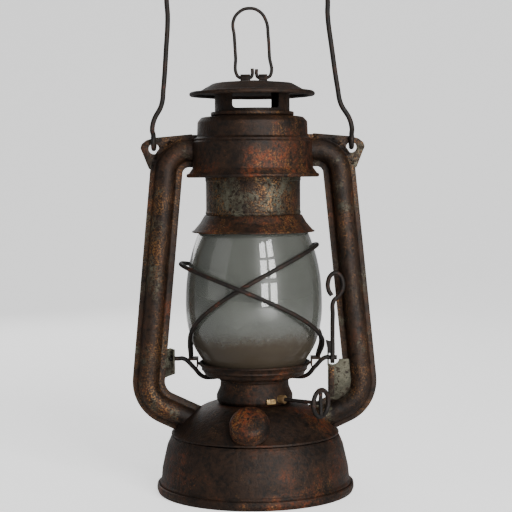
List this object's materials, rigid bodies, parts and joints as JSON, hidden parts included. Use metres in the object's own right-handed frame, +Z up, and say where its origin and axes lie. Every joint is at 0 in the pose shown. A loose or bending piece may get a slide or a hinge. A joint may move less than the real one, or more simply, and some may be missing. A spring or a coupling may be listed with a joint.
{
  "type": "tubular oil lantern",
  "caption": "Wick-fed tubular hanging lantern with a round fuel base, glass globe in crossed guard wires, side air tubes, hooded chimney and wire bail.",
  "frame": {"origin": "centre of the flat underside of the standing ring of the base", "axes": "+Z up, -Y towards the front where the filler cap is, +X towards the side with the lift lever and the wick knob"},
  "size_m": [0.1486, 0.1202, 0.3461],
  "materials": {
    "fount_rust": "rusted tinplate",
    "cap_rust": "rusted tinplate",
    "tube_rust": "rusted tinplate",
    "canopy_rust": "rusted tinplate",
    "gallery_rust": "rusted tinplate",
    "galvanised": "weathered zinc",
    "dark_wire": "rusted wire",
    "aged_brass": "tarnished",
    "globe_glass": "dusty",
    "wick_cotton": "woven",
    "cork": "worn"
  },
  "bodies": {
    "frame": {"fount_bottom": "fount_rust", "fount_shell": "fount_rust", "fount_deck": "fount_rust", "air_dome": "fount_rust", "filler_neck": "fount_rust", "burner_socket": "aged_brass", "burner_base": "aged_brass", "wick_tube": "aged_brass", "burner_cone": "aged_brass", "burner_cup": "fount_rust", "spindle_bush": "aged_brass", "burner_lock_tab": "aged_brass", "drum": "canopy_rust", "drum_collar": "canopy_rust", "chimney_spring": "dark_wire", "left_tube_front": "tube_rust", "left_tube_back": "tube_rust", "right_tube_front": "tube_rust", "right_tube_back": "tube_rust", "left_bracket": "galvanised", "right_web": "galvanised", "lever_strip": "tube_rust"},
    "globe_carrier": {"gallery_plate": "gallery_rust", "gallery_ear_left": "gallery_rust", "gallery_ear_right": "gallery_rust", "globe": "globe_glass", "guard_wire_a": "dark_wire", "guard_wire_b": "dark_wire"},
    "chimney": {"chimney_flare": "canopy_rust", "chimney_cylinder": "galvanised", "chimney_vent": "canopy_rust", "hood_cap": "canopy_rust", "hood_deflector": "canopy_rust", "loop_lug_left": "canopy_rust", "loop_lug_right": "canopy_rust"},
    "top_loop": {"lift_loop": "dark_wire"},
    "bail": {"bail": "dark_wire"},
    "lift_crank": {"lift_crank": "dark_wire", "lift_lever": "dark_wire"},
    "wick_gear": {"wick_spindle": "dark_wire", "wick_sprocket_1": "aged_brass", "wick_sprocket_2": "aged_brass", "wick_knob": "dark_wire"},
    "wick": {"wick": "wick_cotton"},
    "filler_seal": {"filler_gasket": "cork"},
    "filler_cap": {"filler_cap": "cap_rust"}
  },
  "joints": [
    {"name": "globe_lift", "type": "slide", "parent": "frame", "child": "globe_carrier", "axis": [0, 0, 1], "range_m": [0, 0.012], "deforming": ["chimney_spring"]},
    {"name": "lever_turn", "type": "hinge", "parent": "frame", "child": "lift_crank", "pos_m": [0, 0, 0.0807], "axis": [1, 0, 0], "range_deg": [0, 23.2]},
    {"name": "chimney_slide", "type": "slide", "parent": "globe_carrier", "child": "chimney", "axis": [0, 0, 1], "range_m": [0, 0.016], "stiffness_N_per_m": 150, "springref_m": -0.02, "deforming": ["chimney_spring"]},
    {"name": "loop_swing", "type": "hinge", "parent": "chimney", "child": "top_loop", "pos_m": [0, 0, 0.25068], "axis": [1, 0, 0], "range_deg": [-90, 90]},
    {"name": "bail_swing", "type": "hinge", "parent": "frame", "child": "bail", "pos_m": [0, 0, 0.2126], "axis": [1, 0, 0], "range_deg": [-135, 135]},
    {"name": "wick_turn", "type": "hinge", "parent": "frame", "child": "wick_gear", "pos_m": [-0.00285, -0.00392, 0.058], "axis": [0.809, -0.5878, 0], "range_deg": [-197, 131.5]},
    {"name": "wick_rise", "type": "slide", "parent": "frame", "child": "wick", "axis": [0, 0, 1], "range_m": [-0.012, 0.008]},
    {"name": "cap_rise", "type": "slide", "parent": "frame", "child": "filler_seal", "axis": [0, -0.7071, 0.7071], "range_m": [0, 0.007]},
    {"name": "cap_turn", "type": "hinge", "parent": "filler_seal", "child": "filler_cap", "pos_m": [-0.003, -0.0464, 0.0484], "axis": [0, -0.7071, 0.7071], "range_deg": [0, 1261]}
  ],
  "couplings": [
    {"joint": "lever_turn", "follows": "globe_lift", "rad_per_m": 33.4},
    {"joint": "wick_turn", "follows": "wick_rise", "rad_per_m": 285.71},
    {"joint": "cap_turn", "follows": "cap_rise", "rad_per_m": 3141.6}
  ]
}
